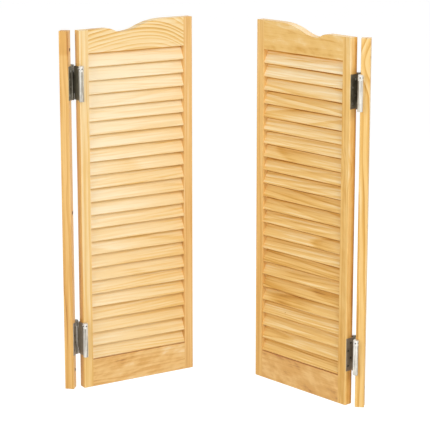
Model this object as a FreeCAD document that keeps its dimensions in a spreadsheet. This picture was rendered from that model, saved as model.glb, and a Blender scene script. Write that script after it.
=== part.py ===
"""A pair of louvred cafe doors on double-acting spring hinges, as one parametric assembly.

Frame: X runs along the doorway from left to right, Y goes away from the front, Z is up.
The origin is the middle of the doorway, on the middle plane of the jamb strips, level with the
door bottoms. Both doors stand pushed open to the back, each turned about its back barrels.

A unit is one jamb strip, two hinges and one door. Its pieces are drawn with the door shut, about
an axis of the unit, and their Placement then stands them in the doorway and turns them open.
"""
import FreeCAD, Part

import math
import os

import Sketcher

Vector = FreeCAD.Vector
UP = Vector(0, 0, 1)

# ---------------------------------------------------------------- driving dimensions (mm, degrees)
SIZES = (
    ("opening_width", 872.0, "doorway, between the outer faces of the two jamb strips"),
    ("left_open_angle", 42.0, "how far the left door stands open to the back"),
    ("right_open_angle", 37.0, "how far the right door stands open to the back"),
    ("strip_width", 25.9, "jamb strip, along the doorway"),
    ("strip_proud", 0.9, "jamb strip's front and back beyond those of the shut door"),
    ("strip_height", 1048.7, "jamb strip, up, and the door at its hinged edge"),
    ("door_gap", 6.6, "room between strip and shut door, which the hinge leaves fill"),
    ("door_width", 368.3, "one door, over both stiles"),
    ("door_thickness", 26.7, "stiles and rails"),
    ("stile_width", 29.2, "upright members"),
    ("bottom_rail_height", 82.9, "lower cross member"),
    ("top_rail_height", 65.1, "upper cross member, from its underside to the top of the strip"),
    ("shoulder_reach", 87.0, "hinged edge to the shoulder of the top curve"),
    ("shoulder_rise", 0.7, "shoulder of the top curve, above the top of the strip"),
    ("dip_reach", 132.5, "hinged edge to the lowest point of the top curve"),
    ("dip_drop", 12.2, "lowest point of the top curve, below the top of the strip"),
    ("near_dip_radius", 30.0, "hollow of the top curve, on its hinge side"),
    ("far_dip_radius", 130.0, "hollow of the top curve, on its meeting side"),
    ("crest_reach", 275.0, "hinged edge to where the top curve runs level"),
    ("crest_rise", 18.1, "level end of the top curve, above the top of the strip"),
    ("wood_round", 2.4, "rounding of the outer edges of stiles, rails and strips"),
    ("arris_round", 1.2, "rounding of the door's edges round its top and its bottom"),
    ("slat_count", 23, "louvre slats in one door"),
    ("slat_width", 44.5, "across the slat"),
    ("slat_thickness", 6.35, "with round edges"),
    ("slat_tilt", 27.0, "from upright, low edge to the front"),
    ("slat_room", 0.3, "between the end slats and the rails"),
    ("housing_depth", 8.0, "sloping slat housings in the stiles"),
    ("housing_fit", 0.12, "room around and behind a slat end in its housing"),
    ("dowel_diameter", 10.0, "pegs that join rails and stiles"),
    ("dowel_length", 46.0, "half in the rail, half in the stile"),
    ("dowel_fit", 0.1, "room around and behind a dowel"),
    ("dowel_margin", 20.0, "dowel centre from the rail's edge"),
    ("bottom_dowel_pitch", 42.0, "between the two dowels of a bottom rail end"),
    ("top_dowel_pitch", 27.0, "between the two dowels of a top rail end"),
    ("mount_hole", 5.0, "jamb screw hole through the strip"),
    ("mount_mouth", 9.6, "its countersink, on the face towards the door"),
    ("mount_inset", 54.35, "outer jamb screw holes from the strip's ends"),
    ("mount_setback", 4.2, "jamb screw holes behind the strip's middle plane"),
    ("hinge_inset", 149.0, "hinge centre from the strip's ends"),
    ("barrel_diameter", 15.0, "hinge barrel"),
    ("barrel_length", 101.6, "from the lower knuckle's foot to the cap's top"),
    ("barrel_clearance", 0.35, "barrel from the jamb strip's front or back"),
    ("barrel_offset", 4.4, "barrel axis from the middle of the gap, towards its own flange's wood"),
    ("leaf_thickness", 1.7, "sheet that the hinge is rolled from"),
    ("leaf_setback", 2.8, "flange ends from the ends of the barrel"),
    ("leaf_margin", 0.85, "flange edge from the shut door's edge, away from its barrel"),
    ("lower_knuckle", 20.0, "flange roll at the foot of the barrel"),
    ("upper_knuckle", 4.7, "flange roll under the cap"),
    ("cap_height", 16.0, "tension cap at the head of the barrel"),
    ("cap_chamfer", 0.9, "bevel round the top of the cap"),
    ("knuckle_gap", 0.3, "running room between the rolls of a barrel"),
    ("roll_seam", 0.5, "open seam where a roll meets its own sheet"),
    ("web_relief", 2.4, "room between the web plate and the flanges' rolls"),
    ("pivot_fit", 0.06, "running fit of spindle and cap in the rolls"),
    ("pivot_reach", 6.0, "how far spindle and cap reach into the web's tube"),
    ("rod_diameter", 4.4, "spindle rod inside the spring"),
    ("rod_fit", 0.1, "running fit of the rod in the cap"),
    ("rod_entry", 4.0, "how far the rod reaches into the cap's head"),
    ("spring_wall", 1.9, "wire of the close-wound torsion spring"),
    ("spring_room", 0.6, "between the spring and the tube"),
    ("tommy_hole", 3.8, "radial holes in the cap for winding the spring"),
    ("tommy_depth", 3.6, "how deep they are"),
    ("tommy_drop", 8.0, "their centre below the cap's top"),
    ("tommy_holes", 5, "how many of them"),
    ("pin_diameter", 3.0, "tension pin that holds the cap against its flange"),
    ("pin_reach", 9.8, "tip of the tension pin from the barrel axis"),
    ("pin_clearance", 0.1, "tension pin from the flange that it bears on"),
    ("screw_pitch", 22.2, "between neighbouring hinge screws, up the flange"),
    ("screw_stagger", 5.2, "hinge screws to either side of the middle plane"),
    ("screw_shank", 3.8, "hinge screw shank"),
    ("screw_head", 6.8, "hinge screw head"),
    ("screw_length", 18.0, "hinge screw, over all"),
    ("screw_point", 4.0, "tapered end of the screw"),
    ("screw_fit", 0.1, "room around a screw in flange and wood"),
)
OVERCUT = 1.0  # how far a cut starts outside the solid that it cuts
NEAR = 0.01  # how close an edge lies to the place that it is picked by

doc = FreeCAD.newDocument("CafeDoors")
sheet = doc.addObject("Spreadsheet::Sheet", "Sizes")
for row, (alias, value, meaning) in enumerate(SIZES, start=1):
    sheet.set(f"A{row}", alias)
    sheet.set(f"B{row}", str(value))
    sheet.set(f"C{row}", meaning)
    sheet.setAlias(f"B{row}", alias)
doc.recompute()


# ---------------------------------------------------------------- sizes that keep their expression
class Measure:
    """A number together with the sheet expression that gives it, so that both follow one formula."""

    def __init__(self, number, text):
        self.number = float(number)
        self.text = text

    def __add__(self, other):
        other = measure(other)
        return Measure(self.number + other.number, f"({self.text} + {other.text})")

    def __sub__(self, other):
        other = measure(other)
        return Measure(self.number - other.number, f"({self.text} - {other.text})")

    def __mul__(self, other):
        other = measure(other)
        return Measure(self.number * other.number, f"({self.text} * {other.text})")

    def __truediv__(self, other):
        other = measure(other)
        return Measure(self.number / other.number, f"({self.text} / {other.text})")

    def __radd__(self, other):
        return measure(other) + self

    def __rsub__(self, other):
        return measure(other) - self

    def __rmul__(self, other):
        return measure(other) * self

    def __neg__(self):
        return Measure(-self.number, f"(0 - {self.text})")


def measure(value):
    """The value as a Measure; a bare number is its own expression."""
    if isinstance(value, Measure):
        return value
    return Measure(value, f"{float(value)!r}")


def root(value):
    return Measure(math.sqrt(value.number), f"sqrt({value.text})")


def sine(angle):
    return Measure(math.sin(math.radians(angle.number)), f"sin({angle.text})")


def cosine(angle):
    return Measure(math.cos(math.radians(angle.number)), f"cos({angle.text})")


def arc_sine(value):
    """An angle in degrees."""
    return Measure(math.degrees(math.asin(value.number)), f"(asin({value.text}) / 1 deg)")


def on_circle(radius, across):
    """How far from its centre's level a circle passes, this far to one side of its centre."""
    return root(radius * radius - across * across)


def size(alias):
    """One cell of the sheet."""
    return Measure(sheet.get(alias), f"Sizes.{alias}")


def bind(target, prop, value):
    """Ties one property to the sheet."""
    target.setExpression(prop, measure(value).text)


# ---------------------------------------------------------------- sketches
class Corner:
    """A corner of an outline. With a centre, the run that ends here is an arc about it.

    turn is 1 for an anticlockwise arc and -1 for a clockwise one.
    """

    def __init__(self, across, along, centre=None, turn=0):
        self.across = measure(across)
        self.along = measure(along)
        self.centre = centre
        self.turn = turn

    def point(self):
        return Vector(self.across.number, self.along.number, 0)


def pin_coordinate(sketch, geometry, end, kind, value):
    """Fixes a point of a sketch at its DistanceX or DistanceY from the sketch's origin."""
    if value.number == 0.0:
        axis = -2 if kind == "DistanceX" else -1
        sketch.addConstraint(Sketcher.Constraint("PointOnObject", geometry, end, axis))
    else:
        constraint = Sketcher.Constraint(kind, -1, 1, geometry, end, value.number)
        bind(sketch, f"Constraints[{sketch.addConstraint(constraint)}]", value)


def pin_point(sketch, geometry, end, across, along):
    pin_coordinate(sketch, geometry, end, "DistanceX", across)
    pin_coordinate(sketch, geometry, end, "DistanceY", along)


def middle_of_arc(start, finish, centre, turn):
    """The point halfway round an arc."""
    first = math.atan2(start.y - centre.y, start.x - centre.x)
    last = math.atan2(finish.y - centre.y, finish.x - centre.x)
    sweep = (last - first) * turn % (2 * math.pi)
    halfway = first + turn * sweep / 2
    radius = (start - centre).Length
    return centre + Vector(radius * math.cos(halfway), radius * math.sin(halfway), 0)


def draw_outline(sketch, corners):
    """Draws a closed outline of straight runs and arcs, with every corner fixed from the sheet."""
    ends = []
    for here, ahead in zip(corners, corners[1:] + corners[:1]):
        start, finish = here.point(), ahead.point()
        if ahead.centre is None:
            geometry = sketch.addGeometry(Part.LineSegment(start, finish))
            ends.append((geometry, 1, 2))
        else:
            centre = Vector(ahead.centre[0].number, ahead.centre[1].number, 0)
            halfway = middle_of_arc(start, finish, centre, ahead.turn)
            # a sketch keeps its arcs anticlockwise, so a clockwise one is drawn from its far end
            runs_on = ahead.turn > 0
            arc = Part.Arc(start, halfway, finish) if runs_on else Part.Arc(finish, halfway, start)
            geometry = sketch.addGeometry(arc)
            ends.append((geometry, 1, 2) if runs_on else (geometry, 2, 1))
            # the ends leave the centre free along one line, so one of its coordinates settles it
            if abs(finish.x - start.x) > abs(finish.y - start.y):
                pin_coordinate(sketch, geometry, 3, "DistanceY", measure(ahead.centre[1]))
            else:
                pin_coordinate(sketch, geometry, 3, "DistanceX", measure(ahead.centre[0]))
    for (geometry, _, finish), (following, start, _) in zip(ends, ends[1:] + ends[:1]):
        sketch.addConstraint(
            Sketcher.Constraint("Coincident", geometry, finish, following, start)
        )
    for (geometry, start, _), corner in zip(ends, corners):
        pin_point(sketch, geometry, start, corner.across, corner.along)


def draw_circle(sketch, across, along, diameter):
    across, along = measure(across), measure(along)
    centre = Vector(across.number, along.number, 0)
    geometry = sketch.addGeometry(Part.Circle(centre, UP, diameter.number / 2))
    index = sketch.addConstraint(Sketcher.Constraint("Diameter", geometry, diameter.number))
    bind(sketch, f"Constraints[{index}]", diameter)
    pin_point(sketch, geometry, 3, across, along)


def rectangle(low_across, low_along, high_across, high_along):
    return [
        Corner(low_across, low_along),
        Corner(high_across, low_along),
        Corner(high_across, high_along),
        Corner(low_across, high_along),
    ]


# ---------------------------------------------------------------- bodies
class Piece:
    """One PartDesign body, which becomes one node, and the features that it is made by."""

    pieces = []

    def __init__(self, label):
        self.body = doc.addObject("PartDesign::Body", label)
        self.body.Label = label
        self.label = label
        Piece.pieces.append(self.body)

    def origin_feature(self, role):
        return next(item for item in self.body.Origin.OriginFeatures if item.Role == role)

    def sketch(self, plane, distance=0.0):
        """A sketch on XY, XZ or YZ, moved along that plane's normal by a distance."""
        made = self.body.newObject("Sketcher::SketchObject", f"{self.label}_sketch")
        made.AttachmentSupport = [(self.origin_feature(f"{plane}_Plane"), "")]
        made.MapMode = "FlatFace"
        bind(made, "AttachmentOffset.Base.z", distance)
        return made

    def pad(self, sketch, length, symmetric=False):
        made = self.body.newObject("PartDesign::Pad", f"{self.label}_pad")
        made.Profile = sketch
        bind(made, "Length", length)
        if symmetric:
            made.SideType = "Symmetric"
        sketch.Visibility = False
        return made

    def pocket(self, sketch, length):
        """Cuts along the sketch's own normal, and makes sure that it cut something."""
        doc.recompute()
        before = self.body.Tip.Shape.Volume
        made = self.body.newObject("PartDesign::Pocket", f"{self.label}_pocket")
        made.Profile = sketch
        made.Reversed = True
        bind(made, "Length", length)
        doc.recompute()
        if not made.Shape.Volume < before:
            raise RuntimeError(f"{made.Label} cuts nothing")
        return made

    def revolve(self, sketch, axis):
        made = self.body.newObject("PartDesign::Revolution", f"{self.label}_turning")
        made.Profile = sketch
        made.ReferenceAxis = (self.origin_feature(f"{axis}_Axis"), [""])
        made.Angle = 360.0
        return made

    def repeat(self, feature, axis, pitch, count):
        """Copies a feature up one axis at a pitch."""
        made = self.body.newObject("PartDesign::LinearPattern", f"{self.label}_row")
        made.Originals = [feature]
        made.Direction = (self.origin_feature(f"{axis}_Axis"), [""])
        bind(made, "Length", pitch * (count - 1))
        bind(made, "Occurrences", count)
        self.body.Tip = made
        return made

    def repeat_round(self, feature, axis, count):
        """Copies a feature round one axis."""
        made = self.body.newObject("PartDesign::PolarPattern", f"{self.label}_ring")
        made.Originals = [feature]
        made.Axis = (self.origin_feature(f"{axis}_Axis"), [""])
        made.Angle = 360.0
        bind(made, "Occurrences", count)
        self.body.Tip = made
        return made

    def dress(self, kind, amount, is_wanted):
        """Rounds or chamfers the edges of the body that is_wanted picks."""
        doc.recompute()
        base = self.body.Tip
        names = [f"Edge{n}" for n, edge in enumerate(base.Shape.Edges, 1) if is_wanted(edge)]
        if not names:
            raise RuntimeError(f"{self.label} has no such edge to {kind}")
        made = self.body.newObject(f"PartDesign::{kind}", f"{self.label}_{kind.lower()}")
        made.Base = (base, names)
        bind(made, "Radius" if kind == "Fillet" else "Size", amount)
        self.body.Tip = made
        return made


def group(label, solids):
    """A node of several like solids, such as the screws of one flange."""
    made = doc.addObject("Part::Feature", label)
    made.Label = label
    made.Shape = Part.makeCompound(solids)
    Piece.pieces.append(made)
    return made


def upright_edge(edge, across, depths):
    """Whether an edge is a long upright one at this x and at one of these y."""
    box = edge.BoundBox
    is_upright = box.ZLength > 10 * max(box.XLength, box.YLength, OVERCUT)
    at_x = abs(box.Center.x - across.number) < NEAR
    return is_upright and at_x and any(abs(box.Center.y - depth.number) < NEAR for depth in depths)


def arris(edge):
    """Whether an edge runs along the top or the bottom of the door, on its front or its back."""
    box = edge.BoundBox
    on_face = abs(abs(box.Center.y) - half_thickness.number) < NEAR and box.YLength < NEAR
    return on_face and (box.ZMax < OVERCUT or box.ZMin > top_rail_foot.number + OVERCUT)


def round_edge(edge, plane_x, radius):
    """Whether an edge is a circle of this radius in the plane at this x."""
    if not isinstance(edge.Curve, Part.Circle):
        return False
    return abs(edge.Curve.Center.x - plane_x.number) < NEAR and (
        abs(edge.Curve.Radius - radius.number) < NEAR
    )


# ---------------------------------------------------------------- sizes worked out from the sheet
half_gap = size("door_gap") / 2
half_thickness = size("door_thickness") / 2
door_width = size("door_width")
stile_width = size("stile_width")
strip_depth = size("door_thickness") + 2 * size("strip_proud")
top_rail_foot = size("strip_height") - size("top_rail_height")
crest_height = size("strip_height") + size("crest_rise")

# a barrel stands behind or before the wood that its own flange is screwed to
barrel_radius = size("barrel_diameter") / 2
bore_radius = barrel_radius - size("leaf_thickness")
half_spacing = strip_depth / 2 + size("barrel_clearance") + barrel_radius
flange_outer = size("barrel_offset") - half_gap
flange_inner = flange_outer + size("leaf_thickness")
axis_reach = size("opening_width") / 2 - size("strip_width") - half_gap

# up a hinge barrel, from the foot of its lower knuckle
tube_foot = size("lower_knuckle") + size("knuckle_gap")
upper_knuckle_foot = (
    size("barrel_length") - size("cap_height") - size("knuckle_gap") - size("upper_knuckle")
)
tube_head = upper_knuckle_foot - size("knuckle_gap")
cap_foot = size("barrel_length") - size("cap_height")
pin_level = size("barrel_length") - size("tommy_drop")
leaf_height = size("barrel_length") - 2 * size("leaf_setback")

# a tension pin lies against the edge of its own flange, where the leaf starts beside the barrel
leaf_corner = root(flange_inner * flange_inner + barrel_radius * barrel_radius)
pin_angle = arc_sine(flange_inner / leaf_corner) + arc_sine(
    (size("pin_diameter") / 2 + size("pin_clearance")) / leaf_corner
)

hinge_feet = {
    "lower": size("hinge_inset") - size("barrel_length") / 2,
    "upper": size("strip_height") - size("hinge_inset") - size("barrel_length") / 2,
}
hinge_rise = hinge_feet["upper"] - hinge_feet["lower"]

# the slats fill the height between the rails
slat_core = size("slat_width") - size("slat_thickness")
slat_rise = slat_core * cosine(size("slat_tilt")) + size("slat_thickness")
louvre_height = top_rail_foot - size("bottom_rail_height")
slat_pitch = (louvre_height - slat_rise - 2 * size("slat_room")) / (size("slat_count") - 1)
first_slat = size("bottom_rail_height") + size("slat_room") + slat_rise / 2

# screws of one flange: steps up from its middle, and to which side of the middle plane
SCREW_STEPS = ((-1.5, -1), (-0.5, 1), (0.5, -1), (1.5, 1))
screw_sink = (size("screw_head") - size("screw_shank")) / 2


def dowel_levels():
    """Heights of the four dowels at one end of a door's rails."""
    low = size("dowel_margin")
    high = top_rail_foot + size("dowel_margin")
    return [low, low + size("bottom_dowel_pitch"), high, high + size("top_dowel_pitch")]


def screw_places(barrel_side):
    """Hinge screws of one unit, as (y from the middle plane, z), both hinges."""
    middle = size("barrel_length") / 2
    return [
        (barrel_side * side * size("screw_stagger"), foot + middle + step * size("screw_pitch"))
        for foot in hinge_feet.values()
        for step, side in SCREW_STEPS
    ]


# ---------------------------------------------------------------- the two units
class Unit:
    """One jamb strip, its hinges and its door.

    side is 1 where the door reaches towards +X and -1 where it reaches towards -X. The flange
    on the -X side of the gap always belongs to the back barrel, the other to the front barrel.
    """

    def __init__(self, name, side, link_turn, door_turn):
        self.name = name
        self.side = side
        self.turns = {"strip": measure(0.0), "link": link_turn, "door": door_turn}

    def label(self, part):
        return f"{self.name}_{part}"

    def reach(self, distance):
        """The x of a point of the door at this distance from its hinged edge."""
        return self.side * (half_gap + distance)

    def reach_span(self, near, far):
        """The lower x and the length of a stretch of the door."""
        start = self.reach(near) if self.side > 0 else self.reach(far)
        return start, far - near

    def flange_is_back(self, carrier):
        return (carrier == "strip") == (self.side > 0)

    def stand(self, piece, carrier, beside, behind, spin=0.0, level=0.0):
        """Stands a piece in the doorway, turned as its carrier is about the back barrels.

        beside and behind are where the piece's own origin lies in X and Y, from the back
        barrels' axis. spin is a further turn about the piece's own origin.
        """
        angle, level = self.turns[carrier], measure(level)
        beside, behind = measure(beside), measure(behind)
        turned = angle + spin
        across = (
            -self.side * axis_reach - size("barrel_offset")
            + beside * cosine(angle) - behind * sine(angle)
        )
        depth = half_spacing + beside * sine(angle) + behind * cosine(angle)
        piece.Placement = FreeCAD.Placement(
            Vector(across.number, depth.number, level.number),
            FreeCAD.Rotation(UP, turned.number),
        )
        bind(piece, "Placement.Base.x", across)
        bind(piece, "Placement.Base.y", depth)
        bind(piece, "Placement.Base.z", level)
        bind(piece, "Placement.Rotation.Angle", turned)

    def stand_at_middle(self, piece, carrier):
        """For a piece drawn about the middle of the gap beside the shut door."""
        self.stand(piece, carrier, size("barrel_offset"), -half_spacing)

    def stand_at_barrel(self, piece, carrier, level, spin=0.0):
        """For a piece drawn about the back barrel; half a turn brings it to the front barrel."""
        if self.flange_is_back(carrier):
            self.stand(piece, carrier, 0.0, 0.0, spin, level)
        else:
            front = 2 * size("barrel_offset"), -2 * half_spacing
            self.stand(piece, carrier, *front, 180 + measure(spin), level)


# ---------------------------------------------------------------- woodwork
def make_jamb_strip(unit):
    """Upright screwed to the jamb, with three countersunk holes and the flanges' pilot holes."""
    piece = Piece(unit.label("jamb_strip"))
    half_depth = strip_depth / 2
    door_face = -unit.side * half_gap
    wall_face = -unit.side * (half_gap + size("strip_width"))
    low_face, high_face = (wall_face, door_face) if unit.side > 0 else (door_face, wall_face)

    section = piece.sketch("XY")
    draw_outline(section, rectangle(low_face, -half_depth, high_face, half_depth))
    piece.pad(section, size("strip_height"))
    depths = (half_depth, -half_depth)
    piece.dress("Fillet", size("wood_round"), lambda edge: upright_edge(edge, door_face, depths))

    through = piece.sketch("YZ", low_face - OVERCUT)
    lowest, highest = size("mount_inset"), size("strip_height") - size("mount_inset")
    for level in (lowest, (lowest + highest) / 2, highest):
        draw_circle(through, size("mount_setback"), level, size("mount_hole"))
    piece.pocket(through, size("strip_width") + 2 * OVERCUT)
    sink = (size("mount_mouth") - size("mount_hole")) / 2
    radius = size("mount_hole") / 2
    piece.dress("Chamfer", sink, lambda edge: round_edge(edge, door_face, radius))

    depth = size("screw_length") - size("leaf_thickness") + size("screw_fit")
    pilots = piece.sketch("YZ", door_face - depth if unit.side > 0 else door_face - OVERCUT)
    for across, level in screw_places(1 if unit.flange_is_back("strip") else -1):
        draw_circle(pilots, across, level, size("screw_shank") + 2 * size("screw_fit"))
    piece.pocket(pilots, depth + OVERCUT)
    unit.stand_at_middle(piece.body, "strip")


def draw_slat_section(sketch, level, clearance):
    """The round-edged section of a tilted slat, low edge to the front."""
    tilt = size("slat_tilt")
    along = (sine(tilt), cosine(tilt))
    across = (cosine(tilt), -sine(tilt))
    half_core = slat_core / 2
    radius = size("slat_thickness") / 2 + clearance

    def corner(end, face, round_end=False):
        middle = (end * half_core * along[0], level + end * half_core * along[1])
        y = middle[0] + face * radius * across[0]
        z = middle[1] + face * radius * across[1]
        if round_end:
            return Corner(y, z, middle, turn=1)
        return Corner(y, z)

    draw_outline(sketch, [
        corner(1, -1, round_end=True), corner(-1, -1),
        corner(-1, 1, round_end=True), corner(1, 1),
    ])


def cut_housings(piece, unit, near, far):
    """Sloping housings for the slat ends, in the inner face of a stile."""
    start, length = unit.reach_span(near, far)
    section = piece.sketch("YZ", start)
    draw_slat_section(section, first_slat, size("housing_fit"))
    housing = piece.pocket(section, length)
    piece.repeat(housing, "Z", slat_pitch, size("slat_count"))


def cut_dowel_holes(piece, unit, near, far):
    start, length = unit.reach_span(near, far)
    section = piece.sketch("YZ", start)
    for level in dowel_levels():
        draw_circle(section, 0.0, level, size("dowel_diameter") + 2 * size("dowel_fit"))
    piece.pocket(section, length)


def sloping_top(distance):
    """Height of the sloping part of the top, at a distance from the hinged edge."""
    return size("strip_height") + size("shoulder_rise") * distance / size("shoulder_reach")


def make_hinge_stile(unit):
    piece = Piece(unit.label("hinge_stile"))
    face = piece.sketch("XZ")
    draw_outline(face, [
        Corner(unit.reach(0.0), 0.0),
        Corner(unit.reach(stile_width), 0.0),
        Corner(unit.reach(stile_width), sloping_top(stile_width)),
        Corner(unit.reach(0.0), size("strip_height")),
    ])
    piece.pad(face, size("door_thickness"), symmetric=True)
    outer = unit.reach(0.0)
    depths = (half_thickness, -half_thickness)
    piece.dress("Fillet", size("wood_round"), lambda edge: upright_edge(edge, outer, depths))
    piece.dress("Fillet", size("arris_round"), arris)
    half_dowel = size("dowel_length") / 2 + size("dowel_fit")
    cut_dowel_holes(piece, unit, stile_width - half_dowel, stile_width + OVERCUT)

    depth = size("screw_length") - size("leaf_thickness") + size("screw_fit")
    start, length = unit.reach_span(measure(-OVERCUT), depth)
    pilots = piece.sketch("YZ", start)
    for across, level in screw_places(1 if unit.flange_is_back("door") else -1):
        draw_circle(pilots, across, level, size("screw_shank") + 2 * size("screw_fit"))
    piece.pocket(pilots, length)
    cut_housings(piece, unit, stile_width - size("housing_depth"), stile_width + OVERCUT)
    unit.stand_at_middle(piece.body, "door")


def make_meeting_stile(unit):
    piece = Piece(unit.label("meeting_stile"))
    inner = door_width - stile_width
    face = piece.sketch("XZ")
    draw_outline(face, [
        Corner(unit.reach(inner), 0.0),
        Corner(unit.reach(door_width), 0.0),
        Corner(unit.reach(door_width), crest_height),
        Corner(unit.reach(inner), crest_height),
    ])
    piece.pad(face, size("door_thickness"), symmetric=True)
    outer = unit.reach(door_width)
    depths = (half_thickness, -half_thickness)
    piece.dress("Fillet", size("wood_round"), lambda edge: upright_edge(edge, outer, depths))
    piece.dress("Fillet", size("arris_round"), arris)
    half_dowel = size("dowel_length") / 2 + size("dowel_fit")
    cut_dowel_holes(piece, unit, inner - OVERCUT, inner + half_dowel)
    cut_housings(piece, unit, inner - OVERCUT, inner + size("housing_depth"))
    unit.stand_at_middle(piece.body, "door")


def make_bottom_rail(unit):
    piece = Piece(unit.label("bottom_rail"))
    face = piece.sketch("XZ")
    draw_outline(face, rectangle(
        unit.reach(stile_width), 0.0,
        unit.reach(door_width - stile_width), size("bottom_rail_height"),
    ))
    piece.pad(face, size("door_thickness"), symmetric=True)
    piece.dress("Fillet", size("arris_round"), arris)
    half_dowel = size("dowel_length") / 2 + size("dowel_fit")
    cut_rail_dowels(piece, unit, half_dowel, dowel_levels()[:2])
    unit.stand_at_middle(piece.body, "door")


def cut_rail_dowels(piece, unit, depth, levels):
    """Dowel holes in both ends of a rail."""
    far = door_width - stile_width
    for near_end, far_end in (
        (stile_width - OVERCUT, stile_width + depth),
        (far - depth, far + OVERCUT),
    ):
        start, length = unit.reach_span(near_end, far_end)
        section = piece.sketch("YZ", start)
        for level in levels:
            draw_circle(section, 0.0, level, size("dowel_diameter") + 2 * size("dowel_fit"))
        piece.pocket(section, length)


def swing_between(unit, low_radius, low, high):
    """An S-curve of two arcs, level at both ends, from a low point up to a high one.

    Points are (distance from the hinged edge, height). Gives where the arcs meet and their centres.
    """
    run = high[0] - low[0]
    climb = high[1] - low[1]
    both_radii = (run * run + climb * climb) / (2 * climb)
    low_centre = (unit.reach(low[0]), low[1] + low_radius)
    high_centre = (unit.reach(high[0]), high[1] - (both_radii - low_radius))
    share = low_radius / both_radii
    meeting = tuple(
        start + (finish - start) * share for start, finish in zip(low_centre, high_centre)
    )
    return meeting, low_centre, high_centre


def make_top_rail(unit):
    """The shaped head: a sloping shoulder, a hollow, and an S-curve up to the level crest."""
    piece = Piece(unit.label("top_rail"))
    inner = door_width - stile_width
    shoulder = (size("shoulder_reach"), sloping_top(size("shoulder_reach")))
    dip = (size("dip_reach"), size("strip_height") - size("dip_drop"))
    crest = (size("crest_reach"), crest_height)
    ramp, far_centre, crest_centre = swing_between(unit, size("far_dip_radius"), dip, crest)
    bend, near_centre, shoulder_centre = swing_between(
        unit, size("near_dip_radius"), dip, shoulder
    )
    convex, hollow = unit.side, -unit.side

    face = piece.sketch("XZ")
    draw_outline(face, [
        Corner(unit.reach(stile_width), top_rail_foot),
        Corner(unit.reach(inner), top_rail_foot),
        Corner(unit.reach(inner), crest[1]),
        Corner(unit.reach(crest[0]), crest[1]),
        Corner(*ramp, crest_centre, convex),
        Corner(unit.reach(dip[0]), dip[1], far_centre, hollow),
        Corner(*bend, near_centre, hollow),
        Corner(unit.reach(shoulder[0]), shoulder[1], shoulder_centre, convex),
        Corner(unit.reach(stile_width), sloping_top(stile_width)),
    ])
    piece.pad(face, size("door_thickness"), symmetric=True)
    piece.dress("Fillet", size("arris_round"), arris)
    cut_rail_dowels(piece, unit, size("dowel_length") / 2 + size("dowel_fit"), dowel_levels()[2:])
    unit.stand_at_middle(piece.body, "door")


def make_slats(unit):
    piece = Piece(unit.label("slats"))
    sunk = size("housing_depth") - size("housing_fit")
    start, length = unit.reach_span(stile_width - sunk, door_width - stile_width + sunk)
    section = piece.sketch("YZ", start)
    draw_slat_section(section, first_slat, measure(0.0))
    slat = piece.pad(section, length)
    piece.repeat(slat, "Z", slat_pitch, size("slat_count"))
    unit.stand_at_middle(piece.body, "door")


def make_dowels(unit):
    piece = Piece(unit.label("rail_dowels"))
    half_dowel = size("dowel_length") / 2
    start, length = unit.reach_span(stile_width - half_dowel, stile_width + half_dowel)
    if unit.side < 0:
        start = start - (door_width - 2 * stile_width)
    section = piece.sketch("YZ", start)
    for level in dowel_levels():
        draw_circle(section, 0.0, level, size("dowel_diameter"))
    dowels = piece.pad(section, length)
    piece.repeat(dowels, "X", door_width - 2 * stile_width, measure(2))
    unit.stand_at_middle(piece.body, "door")


# ---------------------------------------------------------------- hinges
def rolled_edge(low, high):
    """Corners of a sheet, between these x, that is rolled anticlockwise about the origin.

    The sheet comes up from -Y. The first corner is on its face at the high x, the last on the other.
    """
    seam = low - size("roll_seam")
    centre = (measure(0.0), measure(0.0))
    return [
        Corner(high, -on_circle(barrel_radius, high)),
        Corner(seam, -on_circle(barrel_radius, seam), centre, turn=1),
        Corner(seam, -on_circle(bore_radius, seam)),
        Corner(low, -on_circle(bore_radius, low), centre, turn=-1),
    ]


def half_turned(corners, middle):
    """The same corners, turned by half a turn about a point."""
    def turned(point):
        return tuple(2 * halfway - place for halfway, place in zip(middle, point))

    return [
        Corner(*turned((corner.across, corner.along)),
               corner.centre and turned(corner.centre), corner.turn)
        for corner in corners
    ]


def draw_roll(sketch, low, high, tail):
    """The section of a knuckle, with the flange sheet down to its tail."""
    draw_outline(sketch, [*rolled_edge(low, high), Corner(low, tail), Corner(high, tail)])


def make_flange(unit, carrier, hinge):
    """A leaf with four countersunk holes, rolled round its barrel at the foot and under the cap."""
    piece = Piece(unit.label(f"{hinge}_{carrier}_flange"))
    free_edge = -half_spacing - (half_thickness - size("leaf_margin"))
    barrel_edge = -barrel_radius

    leaf = piece.sketch("XY", size("leaf_setback"))
    draw_outline(leaf, rectangle(flange_outer, free_edge, flange_inner, barrel_edge))
    piece.pad(leaf, leaf_height)
    for foot, height in (
        (measure(0.0), size("lower_knuckle")),
        (upper_knuckle_foot, size("upper_knuckle")),
    ):
        roll = piece.sketch("XY", foot)
        draw_roll(roll, flange_outer, flange_inner, barrel_edge - size("leaf_thickness"))
        piece.pad(roll, height)

    holes = piece.sketch("YZ", flange_outer - OVERCUT)
    hole = size("screw_shank") + 2 * size("screw_fit")
    for step, side in SCREW_STEPS:
        level = size("barrel_length") / 2 + step * size("screw_pitch")
        draw_circle(holes, -half_spacing + side * size("screw_stagger"), level, hole)
    piece.pocket(holes, size("leaf_thickness") + 2 * OVERCUT)
    radius = hole / 2
    piece.dress("Chamfer", screw_sink, lambda edge: round_edge(edge, flange_inner, radius))
    unit.stand_at_barrel(piece.body, carrier, hinge_feet[hinge])


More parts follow.
